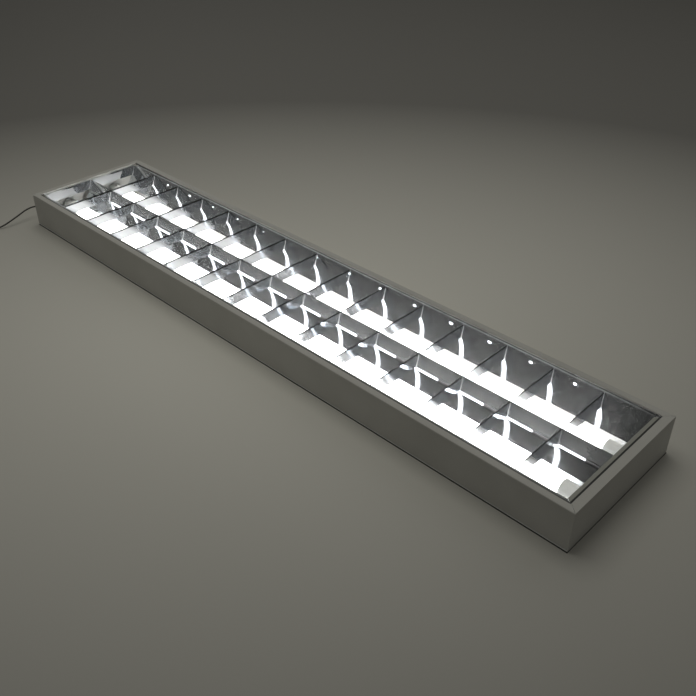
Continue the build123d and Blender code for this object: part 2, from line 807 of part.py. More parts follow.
# ================================================================ supply lead
# Straight out of the bush, down to the surface and along it to the put-away coil.
coil_turns = 14
coil_layers = 4
coil_mean = 5.5 * lead_diameter  # middle of the turns
coil_pitch = 3.5  # between turns and between layers
coil_centre = (-690.0, -232.0)
tie_sheet = 0.6
tie_width = 4.0
tie_slack = 0.3
tie_corner = 1.5
core_offset = 0.75
core_radius = 0.6
core_length = 14.0
tip_radius = 0.4
tip_length = 8.0
layer_turns = coil_turns / coil_layers
coil_outer = coil_mean + coil_pitch * layer_turns / 2
coil_inner = coil_mean - coil_pitch * layer_turns / 2
coil_level = tie_sheet + lead_radius
coil_top = coil_level + (coil_layers - 1) * coil_pitch
lead_out = half + relief_length


def coil_point(turn):
    """Middle of the lead after so many turns of the coil, clockwise from +X.

    The spiral runs in, out, in and out, and climbs a layer in the half turn about
    each place where it reverses.
    """
    layer = int(turn // layer_turns)
    run = turn - layer * layer_turns
    radius = coil_outer - coil_pitch * (run if layer % 2 == 0 else layer_turns - run)
    reversal = round(turn / layer_turns)
    climb = max(-1, min(1, 4 * (turn - reversal * layer_turns)))
    level = max(0, min(coil_layers - 1, reversal - 0.5 + 0.5 * sin(climb * pi / 2)))
    angle = -2 * pi * turn
    x = coil_centre[0] + radius * cos(angle)
    y = coil_centre[1] + radius * sin(angle)
    return Vector(x, y, coil_level + coil_pitch * level)


def coil_heading(turn):
    """Direction of the lead there."""
    step = 0.001
    return (coil_point(turn + step) - coil_point(turn - step)).normalized()


def biarc(start, start_heading, end, end_heading):
    """Two arcs that leave start and reach end in the given directions."""
    across = end - start
    headings = start_heading + end_heading
    along = across.dot(headings)
    spread = 4 - headings.dot(headings)
    arm = (sqrt(along**2 + spread * across.dot(across)) - along) / spread
    joint = (start + start_heading * arm + end - end_heading * arm) * 0.5
    first = TangentArc(start, joint, tangent=start_heading)
    return first, TangentArc(joint, end, tangent=first % 1)


def run_radii(points):
    """Arc radius at each corner of a lead's route, as large as its two runs allow."""
    radii = []
    for before, corner, after in zip(points, points[1:], points[2:]):
        first = Vector(*corner) - Vector(*before)
        second = Vector(*after) - Vector(*corner)
        turn = radians(first.get_angle(second))
        radii.append(0.45 * min(first.length, second.length) / tan(turn / 2))
    return radii


coil_start = coil_point(0) - Vector(0, -lead_diameter, 0)
lead_route = [
    (-lead_out, lead_hole_y, lead_hole_z),
    (-638.0, -77.0, 22.0),
    (-648.0, -84.5, 22.0),
    (-652.5, -96.0, 22.3),
    (-653.8, -108.0, 23.0),
    (-654.4, -119.5, 23.8),
    (-654.6, -131.5, 21.7),
    (-653.8, -143.5, 17.9),
    (-653.2, -156.0, 14.0),
    (-653.2, -168.5, 10.0),
    (-654.4, -180.5, 5.8),
    (-657.5, -193.0, 2.6),
    (-662.5, -205.5, 1.8),
    (coil_start.X, coil_start.Y + 12.0, coil_level),
    (coil_start.X, coil_start.Y, coil_level),
]
lead_radii = run_radii(lead_route)
print("supply lead radii:", [round(radius, 1) for radius in lead_radii])
with BuildPart() as supply_lead:
    with BuildLine() as lead_line:
        FilletPolyline(*lead_route, radius=lead_radii)
    with BuildSketch(Plane(origin=lead_line.wire() @ 0, z_dir=lead_line.wire() % 0)):
        Circle(lead_radius)
    sweep()
save(supply_lead.part, "supply_lead")
lead_section = pi * lead_radius**2
print("supply lead length:", round(lead_line.wire().length, 1))
print("supply lead volume over section times length:",
      round(supply_lead.part.volume / lead_section / lead_line.wire().length, 4))

knots = []
for layer in range(coil_layers):
    knots.append(layer * layer_turns)
    knots += [layer * layer_turns + 0.25 + half_turn / 2 for half_turn in range(int(2 * layer_turns))]
knots.append(coil_turns)
with BuildPart() as lead_coil:
    with BuildLine() as coil_line:
        Line(coil_start, coil_point(0))
        heading = Vector(0, -1, 0)
        for knot, following in zip(knots, knots[1:]):
            end_heading = coil_heading(following) if following < coil_turns else Vector(0, -1, 0)
            biarc(coil_point(knot), heading, coil_point(following), end_heading)
            heading = end_heading
        Line(coil_point(coil_turns), coil_point(coil_turns) + Vector(0, -lead_diameter, 0))
    with BuildSketch(Plane(origin=coil_start, z_dir=(0, -1, 0))):
        Circle(lead_radius)
    sweep()
save(lead_coil.part, "lead_coil")
print("coil length:", round(coil_line.wire().length, 1))
print("coil volume over section times length:",
      round(lead_coil.part.volume / lead_section / coil_line.wire().length, 4))
samples = [coil_point(step / 60) for step in range(60 * coil_turns)]
least = min(
    (one - other).length
    for place, one in enumerate(samples)
    for other in samples[place + 30 :]
)
print("coil's least gap to itself:", round(least - lead_diameter, 2))

# A strap round the turns keeps the coil together.
with BuildPart() as lead_tie:
    with BuildSketch(Plane.YZ.offset(coil_centre[0] - tie_width / 2)):
        inner_side = coil_inner + coil_pitch / 4 - lead_radius - tie_slack
        outer_side = coil_outer - coil_pitch / 4 + lead_radius + tie_slack
        middle = (coil_centre[1] + (inner_side + outer_side) / 2, (coil_level + coil_top) / 2)
        with Locations(middle):
            across = outer_side - inner_side
            upright = coil_top - coil_level + lead_diameter
            RectangleRounded(across + 2 * tie_sheet, upright + 2 * tie_sheet, tie_corner)
            RectangleRounded(across, upright, tie_corner - tie_sheet, mode=Mode.SUBTRACT)
    extrude(amount=tie_width)
save(lead_tie.part, "lead_tie")

# The free end is stripped: three insulated cores with bare copper tips.
tail = coil_point(coil_turns) + Vector(0, -lead_diameter, 0)
cores_node = ("lead_cores", core_radius, 0.0, core_length)
tips_node = ("core_tips", tip_radius, core_length, tip_length)
for name, radius, begin, reach_out in (cores_node, tips_node):
    with BuildPart() as cores:
        with BuildSketch(Plane(origin=tail + Vector(0, -begin, 0), z_dir=(0, -1, 0))):
            with PolarLocations(core_offset, 3):
                Circle(radius)
        extrude(amount=reach_out)
    save(cores.part, name)
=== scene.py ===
# %% [markdown]
# # Slim two-lamp louvre light, lying on its back with its lamps lit
#
# Metres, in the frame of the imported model: the origin is the middle of the back
# plate, +X runs to the light's near end and +Z is the way it shines.

# %% Load the model
import bpy
import json
from math import cos, pi, radians, sin
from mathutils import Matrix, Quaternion, Vector


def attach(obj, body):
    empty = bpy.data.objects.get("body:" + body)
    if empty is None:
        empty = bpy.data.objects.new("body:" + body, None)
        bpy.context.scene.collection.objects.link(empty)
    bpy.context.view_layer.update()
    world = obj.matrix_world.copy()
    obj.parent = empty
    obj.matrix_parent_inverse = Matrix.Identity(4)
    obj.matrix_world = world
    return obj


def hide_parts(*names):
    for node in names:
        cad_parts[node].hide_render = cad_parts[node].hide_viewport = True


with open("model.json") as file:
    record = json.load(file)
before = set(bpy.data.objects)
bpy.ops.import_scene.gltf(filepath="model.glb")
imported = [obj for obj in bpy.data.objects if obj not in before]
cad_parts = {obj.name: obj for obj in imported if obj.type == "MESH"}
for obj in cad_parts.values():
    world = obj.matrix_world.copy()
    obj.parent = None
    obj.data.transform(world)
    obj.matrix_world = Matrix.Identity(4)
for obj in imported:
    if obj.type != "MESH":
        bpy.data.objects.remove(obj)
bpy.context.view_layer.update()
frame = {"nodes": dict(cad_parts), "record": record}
mm = 0.001

# %% [markdown]
# ## Camera
#
# A plain 36 mm camera with no shift.  Its place was worked out from the corners of
# the tray and the ends of the blades.

# %% Camera
camera_place = Vector((0.9147, -0.8041, 0.7837))
look_at = Vector((0.1343, -0.0007, 0.0))
focal_length = 43.94
roll = radians(0.085)

camera = bpy.data.objects.new("camera", bpy.data.cameras.new("camera"))
camera.data.sensor_width = 36
camera.data.lens = focal_length
camera.location = camera_place
camera.rotation_mode = "QUATERNION"
facing = (look_at - camera_place).to_track_quat("-Z", "Y")
camera.rotation_quaternion = facing @ Quaternion((0, 0, 1), roll)
bpy.context.scene.collection.objects.link(camera)
bpy.context.scene.camera = camera
reach = (look_at - camera_place).length
print("camera", round(reach, 3), "m from the floor point it looks at")

# %% [markdown]
# ## Materials
#
# Every surface is procedural, in object coordinates.  `nodes_for` gives an empty
# Principled material, and the short functions below wire what they share.


# %% Material helpers
def nodes_for(name):
    """A new material: (material, its node tree, its Principled shader)."""
    material = bpy.data.materials.new(name)
    material.use_nodes = True
    tree = material.node_tree
    return material, tree, tree.nodes["Principled BSDF"]


def noise(tree, scale, detail=3.0, stretch=(1, 1, 1)):
    """Noise in object coordinates, scale in cells per metre, stretched by axis."""
    place = tree.nodes.new("ShaderNodeTexCoord")
    mapping = tree.nodes.new("ShaderNodeMapping")
    mapping.inputs["Scale"].default_value = stretch
    texture = tree.nodes.new("ShaderNodeTexNoise")
    texture.inputs["Scale"].default_value = scale
    texture.inputs["Detail"].default_value = detail
    tree.links.new(place.outputs["Object"], mapping.inputs["Vector"])
    tree.links.new(mapping.outputs["Vector"], texture.inputs["Vector"])
    return texture.outputs["Fac"]


def spread(tree, value, low, high, start=0.35, stop=0.65):
    """value, eased from low at start to high at stop."""
    ramp = tree.nodes.new("ShaderNodeMapRange")
    ramp.inputs["From Min"].default_value = start
    ramp.inputs["From Max"].default_value = stop
    ramp.inputs["To Min"].default_value = low
    ramp.inputs["To Max"].default_value = high
    tree.links.new(value, ramp.inputs["Value"])
    return ramp.outputs["Result"]


def mixed(tree, factor, one, other, blend="MIX"):
    """A colour from one, a colour or a socket, to other, by a factor from 0 to 1."""
    mix = tree.nodes.new("ShaderNodeMix")
    mix.data_type = "RGBA"
    mix.blend_type = blend
    for socket, colour in ((mix.inputs["A"], one), (mix.inputs["B"], other)):
        if isinstance(colour, tuple):
            socket.default_value = (*colour, 1)
        else:
            tree.links.new(colour, socket)
    tree.links.new(factor, mix.inputs["Factor"])
    return mix.outputs["Result"]


def bumped(tree, node, height, distance, strength=1.0):
    """Raises the node's surface by a height from 0 to 1 times distance, in metres."""
    bump = tree.nodes.new("ShaderNodeBump")
    bump.inputs["Strength"].default_value = strength
    bump.inputs["Distance"].default_value = distance
    tree.links.new(height, bump.inputs["Height"])
    tree.links.new(bump.outputs["Normal"], node.inputs["Normal"])
    return bump


def sums(tree, operation, *terms):
    """One step of arithmetic on sockets and plain numbers."""
    step = tree.nodes.new("ShaderNodeMath")
    step.operation = operation
    for socket, term in zip(step.inputs, terms):
        if isinstance(term, (int, float)):
            socket.default_value = term
        else:
            tree.links.new(term, socket)
    return step.outputs["Value"]


def every(tree, *masks):
    """A mask that is 1 where all of the masks are, or a share of it: `m1 * m2 * ...`"""
    whole = masks[0]
    for mask in masks[1:]:
        whole = sums(tree, "MULTIPLY", whole, mask)
    return whole


def most(tree, *terms):
    """The largest of the terms: `max(t1, t2, ...)`"""
    largest = terms[0]
    for term in terms[1:]:
        largest = sums(tree, "MAXIMUM", largest, term)
    return largest


def size_of(tree, term):
    """`|term|`"""
    return sums(tree, "ABSOLUTE", term)


def coordinates(tree, output="Object"):
    """The x, y and z sockets of the object coordinates, or of another output."""
    place = tree.nodes.new("ShaderNodeTexCoord")
    parts = tree.nodes.new("ShaderNodeSeparateXYZ")
    tree.links.new(place.outputs[output], parts.inputs["Vector"])
    return parts.outputs["X"], parts.outputs["Y"], parts.outputs["Z"]


# %% [markdown]
# ### Painted steel
#
# The powder coat has a fine orange peel.  On the walls behind the reflectors it turns
# nearly
# black: painted shade.  The back plate's inner face is whiter.


# %% Painted steel
wall_inside = 118.0 * mm
wall_zone = 5.3 * mm
end_inside = 619.3 * mm
shaded_wall_heights = (24.0 * mm, 63.9 * mm)
plate_zone = (2.0 * mm, 1.4 * mm)  # the back plate's inner face and the dimples
rim_shadow_edge = 113.7 * mm  # painted shadow line on the front rim's inner edge, from the middle
rim_bottom = 62.8 * mm
rim_reach = 607.5 * mm


def powder_coat():
    """Painted steel sheet."""
    material, tree, shader = nodes_for("powder_coat")
    cloud = spread(tree, noise(tree, 9.0), 0.0, 1.0)
    coat = mixed(tree, cloud, (0.555, 0.55, 0.52), (0.605, 0.60, 0.57))

    # painted shade: nearly black on the walls behind the reflectors
    x, y, z = coordinates(tree)
    within = sums(tree, "LESS_THAN", size_of(tree, x), end_inside)
    beside = sums(tree, "COMPARE", size_of(tree, y), wall_inside, wall_zone)
    above = sums(tree, "GREATER_THAN", z, shaded_wall_heights[0])
    below = sums(tree, "LESS_THAN", z, shaded_wall_heights[1])
    shaded_walls = every(tree, within, beside, above, below)
    coat = mixed(tree, shaded_walls, coat, (0.10, 0.10, 0.10))

    # white on the back plate, and painted shade: a dark line on the front rim's inner
    # edge for the shadow gap beside the louvre
    plate = every(tree, within, sums(tree, "COMPARE", z, *plate_zone))
    coat = mixed(tree, plate, coat, (0.86, 0.87, 0.87))
    inner = sums(tree, "GREATER_THAN", y, -rim_shadow_edge)
    front = sums(tree, "LESS_THAN", y, 0)
    top = sums(tree, "GREATER_THAN", z, rim_bottom)
    along = sums(tree, "LESS_THAN", size_of(tree, x), rim_reach)
    coat = mixed(tree, every(tree, inner, front, top, along), coat, (0.10, 0.10, 0.10))
    tree.links.new(coat, shader.inputs["Base Color"])
    peel = noise(tree, 900.0, detail=2.0)
    tree.links.new(spread(tree, peel, 0.42, 0.52), shader.inputs["Roughness"])
    bumped(tree, shader, peel, 0.02 * mm, 0.5)
    return material


# heights of the walls' painted shade
print("primer from", shaded_wall_heights[0], "to", round(shaded_wall_heights[1], 4), "m")

# %% [markdown]
# ### The mirror louvre
#
# The strip is brightened on the side that faces the lamps' beam and satin on its back,
# which is inside the folded blades.  Its material tells its places apart by object
# coordinates: a face that stands off the parabola of its channel belongs to a blade.

# %% [markdown]
# #### The strip's geometry
#
# Sizes that the louvre's material needs.  Each channel's parabola, in its own section, is
# `across ** 2 = four_focal * (z - vertex_z)`, counted from the channel's middle.

# %% Where things are on the louvre
channel_middle = 53.2 * mm
four_focal = 51.17 * mm
vertex_z = 7.51 * mm
louvre_top = 62.2 * mm
facet_play = 0.35 * mm  # a flat facet of a reflector stands off its parabola less
first_blade = -533.05 * mm
blade_pitch = 81.3 * mm
blade_zone = (-4.6 * mm, 560 * mm)  # the blades' middle and reach along the louvre
blade_reach = 105.4 * mm
near_blade = 0.03  # of the pitch
strip_ends = (603.7 * mm, 110.3 * mm)  # the strips' painted shade lines at their cut edges, along X and Y
strip_face = (598.6 * mm, 61.4 * mm)  # the end strips begin here: X and Z
end_plate = (-599.0 * mm, 58.5 * mm)  # the far end plate's face: X and top
lip_zone = (10.6 * mm, 0.5 * mm)  # of the centre cover, from the middle
lip_height = (39.0 * mm, 43.5 * mm)
print("blades from", round(first_blade, 3), "m, every", round(blade_pitch, 4), "m")


def between(tree, value, low, high):
    """A mask that is 1 where low < value < high."""
    above = sums(tree, "GREATER_THAN", value, low)
    return every(tree, above, sums(tree, "LESS_THAN", value, high))


# %% [markdown]
# #### Tone, polish and painted shade
#
# The tone is cloudy, with painted shade in the near end cell.  Each blade's fold has a
# painted shade line that is a little deeper towards the far end, and so do the strips'
# cut edges.

# %% Polish
shade_line_depths = (2.6 * mm, 1.3 * mm)  # at the far end and at the near end
shade_line_span = (-600 * mm, 300 * mm)
end_cell_shade_span = (520 * mm, 600 * mm)


def polish(tree, shader, x, y, z, cell):
    """Wires the mirror's colour, with its painted shade, and roughness, and returns the
    mask of the shade lines.
    """
    smudge = noise(tree, 150.0, detail=5.0)
    cloud = spread(tree, smudge, 0.0, 1.0)
    tone = mixed(tree, cloud, (0.58, 0.61, 0.64), (0.82, 0.85, 0.89))
    # painted shade: dark lines along the blades' folds and the strips' cut edges
    at_blade = every(
        tree,
        sums(tree, "LESS_THAN", sums(tree, "PINGPONG", cell, 0.5), near_blade),
        sums(tree, "COMPARE", x, *blade_zone),
        sums(tree, "LESS_THAN", size_of(tree, y), blade_reach),
    )
    past_end = sums(tree, "GREATER_THAN", x, strip_ends[0])
    past_side = sums(tree, "GREATER_THAN", size_of(tree, y), strip_ends[1])
    depth = spread(tree, x, *shade_line_depths, *shade_line_span)
    high = sums(tree, "GREATER_THAN", sums(tree, "ADD", z, depth), louvre_top)
    shade_lines = every(tree, most(tree, at_blade, past_end, past_side), high)
    tone = mixed(tree, shade_lines, tone, (0.03, 0.03, 0.03))
    # painted shade: the near end cell is darker
    end_cell_shade = spread(tree, x, 0.0, 1.0, *end_cell_shade_span)
    tone = mixed(tree, end_cell_shade, tone, (0.35, 0.35, 0.34), blend="MULTIPLY")
    tree.links.new(tone, shader.inputs["Base Color"])
    tree.links.new(spread(tree, smudge, 0.03, 0.14), shader.inputs["Roughness"])
    return shade_lines


print("fold lines", [round(depth / mm, 1) for depth in shade_line_depths], "mm deep")

# %% [markdown]
# #### Relief
#
# Rolling lines, a row of small dents over the tabs of the back reflector, and slow waves.
# A dent is a smooth bump in the distance from its middle,
# `sqrt(along ** 2 + aside ** 2)`, with `along` shortened so that it is a little long.

# %% Relief
rolling_depth = 0.02 * mm
wave_depth = 0.12 * mm
dent_depth = 1.6 * mm
dent_first = 481.0 * mm
dent_pitch = 74.2 * mm
dent_last = 520.0 * mm
dent_z = 57.8 * mm
dent_size = 4.5 * mm
dent_stretch = 0.55
dent_row = 95 * mm  # only further back than this


def relief(tree, shader, x, y, z):
    """Wires the mirror's rolling lines over its dents over its waves."""
    step = sums(tree, "DIVIDE", sums(tree, "SUBTRACT", x, dent_first), dent_pitch)
    along = sums(tree, "PINGPONG", step, 0.5)
    along = sums(tree, "MULTIPLY", along, dent_pitch * dent_stretch)
    aside = sums(tree, "SUBTRACT", z, dent_z)
    squares = [sums(tree, "POWER", term, 2) for term in (along, aside)]
    apart = sums(tree, "SQRT", sums(tree, "ADD", *squares))
    dent = spread(tree, apart, 1.0, 0.0, 0.0, dent_size)
    dent.node.interpolation_type = "SMOOTHSTEP"
    uneven = spread(tree, noise(tree, 9.0), 0.9, 1.0, 0.42, 0.55)
    behind = sums(tree, "GREATER_THAN", y, dent_row)
    dent = every(tree, dent, uneven, behind, sums(tree, "LESS_THAN", x, dent_last))

    rolled = noise(tree, 60.0, detail=4.0, stretch=(0.15, 1, 6))
    lines = bumped(tree, shader, rolled, rolling_depth, 0.25)
    dents = bumped(tree, lines, dent, dent_depth)
    bumped(tree, dents, noise(tree, 28.0, detail=1.0), wave_depth)


print("dents", round(dent_pitch / mm, 1), "mm apart")

# %% [markdown]
# #### Dust and painted light
#
# The blades' cut ends and a slanting patch beside each lamp are satin: painted light from
# the junctions and painted lamp glow.  So is a ragged part of the far end plate, a
# painted reflection, and a haze lies over the centre reflector.

# %% Dust and painted light
haze = 0.03
edge_width = 1.8 * mm
edge_fade = 1.2  # of the edge's width
edge_turn = (45 * mm, 52 * mm)  # the satin ends narrow upwards from here
glow_width = (7 * mm, 17 * mm)
glow_slant = 1.07
glow_from = 31 * mm
glow_along = (-150 * mm, 350 * mm)
veil_width = (12 * mm, 34 * mm)
veil_along = (-250 * mm, 100 * mm)
end_shine = 12 * mm
end_share = 0.6
centre_haze = (10.0 * mm, 10.3 * mm)


def dust_and_painted_light(tree, x, y, z):
    """How satin the mirror is, from 0 to 1, with painted light and dust."""
    # how far a face stands off the parabola: nothing on the reflectors, more on a blade
    across = size_of(tree, sums(tree, "SUBTRACT", size_of(tree, y), channel_middle))
    rise = sums(tree, "SUBTRACT", z, vertex_z)
    curve = sums(tree, "SQRT", sums(tree, "MULTIPLY", rise, four_focal))
    stand_off = sums(tree, "SUBTRACT", curve, across)
    on_a_blade = sums(tree, "GREATER_THAN", stand_off, facet_play)

    # the blades' ends, satin for painted light at the junctions, and their painted glow
    # patch beside a lamp with a wider painted veil of glow in the far cells
    low = spread(tree, z, 1.0, 0.4, *edge_turn)
    narrow = every(tree, low, spread(tree, x, 0.75, 1.0, *veil_along))
    inward = sums(tree, "DIVIDE", stand_off, narrow)
    at_its_end = spread(tree, inward, 1.0, 0.0, edge_width, edge_fade * edge_width)
    lamp_y = sums(tree, "MULTIPLY", sums(tree, "SIGN", y), channel_middle)
    from_lamp = sums(tree, "SUBTRACT", y, lamp_y)
    higher = sums(tree, "SUBTRACT", z, glow_from)
    slanted = sums(tree, "MULTIPLY", higher, glow_slant)
    aslant = size_of(tree, sums(tree, "ADD", from_lamp, slanted))
    glow = spread(tree, aslant, 0.4, 0.0, *glow_width)
    glow = every(tree, glow, spread(tree, x, 0.0, 1.0, *glow_along))
    veil = spread(tree, aslant, 0.55, 0.02, *veil_width)
    veil = every(tree, veil, spread(tree, x, 1.0, 0.0, *veil_along))
    painted_light_on_blades = every(tree, on_a_blade, most(tree, at_its_end, glow, veil))

    # the far end plate's painted reflection, the haze on the centre reflector and specks
    # of dust
    rough_edge = spread(tree, noise(tree, 45.0), -end_shine, end_shine, 0.3, 0.7)
    ragged = sums(tree, "ADD", from_lamp, rough_edge)
    plate = every(
        tree,
        sums(tree, "LESS_THAN", x, end_plate[0]),
        sums(tree, "LESS_THAN", z, end_plate[1]),
        sums(tree, "LESS_THAN", ragged, end_shine),
        end_share,
    )
    hazy = spread(tree, size_of(tree, y), 0.15, haze, *centre_haze)
    dust = spread(tree, noise(tree, 1100.0, detail=1.0), 0.0, 0.4, 0.66, 0.72)
    dust = every(tree, dust, spread(tree, x, 0.1, 1.0, *veil_along))
    return most(tree, painted_light_on_blades, dust, plate, hazy)


print("blade ends satin for", round(edge_width / mm, 1), "mm")

# %% [markdown]
# #### The louvre's material
#
# Mirror and satin, mixed by the dust and painted light.  The centre cover's lips are dark
# satin for the last part of each cell, painted shade that breaks the bright reflection
# along them; the end strips are dull grey, and the back of the sheet, where the face
# looks down, is satin.

# %% Mirror aluminium
# the lips' painted shade begins here
lip_shade_from = 0.55  # of a cell
strip_share = 0.85
looks_down = -0.02


def mirror_strip():
    """Bright aluminium strip, for the louvre and the centre cover."""
    material, tree, shader = nodes_for("mirror_strip")
    shader.inputs["Metallic"].default_value = 1.0
    satin = tree.nodes.new("ShaderNodeBsdfPrincipled")
    satin.inputs["Metallic"].default_value = 0.3
    satin.inputs["Roughness"].default_value = 0.55
    x, y, z = coordinates(tree)
    start = sums(tree, "SUBTRACT", x, first_blade)
    cell = sums(tree, "FRACT", sums(tree, "DIVIDE", start, blade_pitch))
    shade_lines = polish(tree, shader, x, y, z, cell)
    relief(tree, shader, x, y, z)

    # the satin's colour, dark with painted shade on the lips and along the shade lines,
    # and grey on the end strips
    at_lip = sums(tree, "COMPARE", size_of(tree, y), *lip_zone)
    last_part = sums(tree, "GREATER_THAN", cell, lip_shade_from)
    lip_shade = every(tree, at_lip, between(tree, z, *lip_height), last_part)
    strip = every(
        tree,
        sums(tree, "GREATER_THAN", size_of(tree, x), strip_face[0]),
        sums(tree, "GREATER_THAN", z, strip_face[1]),
    )
    plain = mixed(tree, most(tree, lip_shade, shade_lines), (0.80, 0.81, 0.82), (0.05, 0.05, 0.05))
    not_cut = every(tree, strip, sums(tree, "SUBTRACT", 1.0, shade_lines))
    colour = mixed(tree, not_cut, plain, (0.42, 0.42, 0.38))
    tree.links.new(colour, satin.inputs["Base Color"])

    back = sums(tree, "LESS_THAN", coordinates(tree, "Normal")[2], looks_down)
    strip = every(tree, strip, strip_share)
    share = most(tree, dust_and_painted_light(tree, x, y, z), lip_shade, strip, back)
    choose = tree.nodes.new("ShaderNodeMixShader")
    tree.links.new(share, choose.inputs["Fac"])
    tree.links.new(shader.outputs["BSDF"], choose.inputs[1])
    tree.links.new(satin.outputs["BSDF"], choose.inputs[2])
    output = tree.nodes["Material Output"]
    tree.links.new(choose.outputs["Shader"], output.inputs["Surface"])
    return material


# where the lips' painted shade begins
print("lips dull from", lip_shade_from, "of a cell")

# %% [markdown]
# ### Lamps
#
# The opal tube glows evenly and fades a little over the last centimetre before each
# cap.


# %% Opal tube
lamp_strength = 10.0
lit_half = 564.4 * mm
lamp_fade = 10 * mm
lamp_left = 0.6  # of the strength, at the cap


def opal_tube():
    """A lit tube, at full strength up to lamp_fade before each cap."""
    material, tree, shader = nodes_for("opal_tube")
    shader.inputs["Base Color"].default_value = (0.92, 0.92, 0.90, 1)
    shader.inputs["Roughness"].default_value = 0.25
    shader.inputs["Emission Color"].default_value = (1.0, 0.99, 0.97, 1)
    along = sums(tree, "ABSOLUTE", coordinates(tree)[0])
    faded = lamp_left * lamp_strength
    glow = spread(tree, along, lamp_strength, faded, lit_half - lamp_fade, lit_half)
    tree.links.new(glow, shader.inputs["Emission Strength"])
    return material


print("lamps at", lamp_strength)

# %% [markdown]
# ### Plastics, rubber and small metal
#
# Moulded pieces share one recipe: a slight cloud in the colour, a grain in the
# roughness and a fine moulded texture.


# %% Plain finishes
def moulded(name, colour, roughness, grain=1500.0, depth=0.01, shift=0.06, glow=0.0):
    """A moulded piece, grain in cells per metre and depth in millimetres; glow is painted
    light of its own.
    """
    material, tree, shader = nodes_for(name)
    shader.inputs["Emission Color"].default_value = (*colour, 1)
    shader.inputs["Emission Strength"].default_value = glow
    cloud = noise(tree, 40.0)
    darker = tuple(value * (1 - shift) for value in colour)
    tree.links.new(mixed(tree, cloud, darker, colour), shader.inputs["Base Color"])
    texture = noise(tree, grain, detail=2.0)
    rough = spread(tree, texture, roughness - 0.06, roughness + 0.06)
    tree.links.new(rough, shader.inputs["Roughness"])
    bumped(tree, shader, texture, depth * mm, 0.6)
    return material


def metal(name, colour, roughness, stretch=(1, 1, 1)):
    """A drawn or stamped metal with fine lines."""
    material, tree, shader = nodes_for(name)
    shader.inputs["Metallic"].default_value = 1.0
    lines = noise(tree, 700.0, detail=3.0, stretch=stretch)
    darker = tuple(value * 0.85 for value in colour)
    tree.links.new(mixed(tree, lines, darker, colour), shader.inputs["Base Color"])
    rough = spread(tree, lines, roughness - 0.08, roughness + 0.08)
    tree.links.new(rough, shader.inputs["Roughness"])
    bumped(tree, shader, lines, 0.01 * mm, 0.4)
    return material


finishes = {
    "white_paint": powder_coat(),
    "mirror_aluminium": mirror_strip(),
    "opal_glass": opal_tube(),
    # the lamp caps glow a little on their own: painted light, standing in for lamp light
    # scattered through them
    "grey_plastic": moulded("cap_plastic", (0.80, 0.81, 0.78), 0.42, glow=0.27),
    "white_plastic": moulded("holder_plastic", (0.86, 0.86, 0.85), 0.38),
    "clear_plastic": moulded("block_plastic", (0.70, 0.72, 0.72), 0.30),
    "black_plastic": moulded("strap_plastic", (0.03, 0.03, 0.03), 0.45),
    "lead_sheath": moulded("lead_sheath", (0.055, 0.055, 0.052), 0.50, grain=2500.0),
    "grey_rubber": moulded("bush_rubber", (0.10, 0.10, 0.10), 0.65),
    "core_brown": moulded("core_brown", (0.16, 0.07, 0.03), 0.40),
    "core_blue": moulded("core_blue", (0.04, 0.13, 0.45), 0.40),
    "core_green": moulded("core_green", (0.12, 0.36, 0.05), 0.40),
    "board": moulded("board_lacquer", (0.80, 0.80, 0.78), 0.30),
    "diode": moulded("diode_gel", (0.85, 0.70, 0.22), 0.25),
    "zinc_steel": metal("zinc_steel", (0.62, 0.63, 0.64), 0.34),
    "bronze": metal("spring_bronze", (0.64, 0.42, 0.24), 0.30),
    "brass": metal("pin_brass", (0.76, 0.62, 0.34), 0.26),
    "copper": metal("bare_copper", (0.80, 0.42, 0.27), 0.24),
}
slot_of = {part["node"]: part["material_slot"] for part in frame["record"]["subparts"]}
for node, piece in frame["nodes"].items():
    for material_slot in piece.material_slots:
        material_slot.material = finishes[slot_of[node]]
print(len(finishes), "finishes on", len(slot_of), "nodes")

# %% [markdown]
# ## Supply lead
#
# One spline: the route down from the bush, and then the put-away coil, which spirals
# in and out in layers.  A curve of this kind passes inside its points, so a coil's
# points stand out by `1 / cos(pi / points_per_turn)`.

# %% Route of the lead
lead_diameter = 3.0
half_length = 620.0
relief_length = 6.0
lead_hole = (-77.0, 22.0)
coil_turns = 14
coil_layers = 4
coil_pitch = 3.5
coil_centre = (-690.0, -232.0)
tie_sheet = 0.6
points_per_turn = 12
layer_turns = coil_turns / coil_layers
coil_outer = 5.5 * lead_diameter + coil_pitch * layer_turns / 2
coil_level = tie_sheet + lead_diameter / 2
coil_start = (coil_centre[0] + coil_outer, coil_centre[1] + lead_diameter, coil_level)

lead_route = [
    (-half_length - relief_length, lead_hole[0], lead_hole[1]),
    (-638.0, -77.0, 22.0),
    (-648.0, -84.5, 22.0),
    (-652.5, -96.0, 22.3),
    (-653.8, -108.0, 23.0),
    (-654.4, -119.5, 23.8),
    (-654.6, -131.5, 21.7),
    (-653.8, -143.5, 17.9),
    (-653.2, -156.0, 14.0),
    (-653.2, -168.5, 10.0),
    (-654.4, -180.5, 5.8),
    (-657.5, -193.0, 2.6),
    (-662.5, -205.5, 1.8),
    (coil_start[0], coil_start[1] + 12.0, coil_level),
    coil_start,
]


def coil_point(turn):
    """A spline point of the coil after so many turns, clockwise from +X."""
    layer = min(int(turn // layer_turns), coil_layers - 1)
    run = turn - layer * layer_turns
    radius = coil_outer - coil_pitch * (run if layer % 2 == 0 else layer_turns - run)
    reversal = round(turn / layer_turns)
    climb = max(-1, min(1, 4 * (turn - reversal * layer_turns)))
    level = max(0, min(coil_layers - 1, reversal - 0.5 + 0.5 * sin(climb * pi / 2)))
    angle = -2 * pi * turn
    stand_out = radius / cos(pi / points_per_turn)
    x = coil_centre[0] + stand_out * cos(angle)
    y = coil_centre[1] + stand_out * sin(angle)
    return (x, y, coil_level + coil_pitch * level)


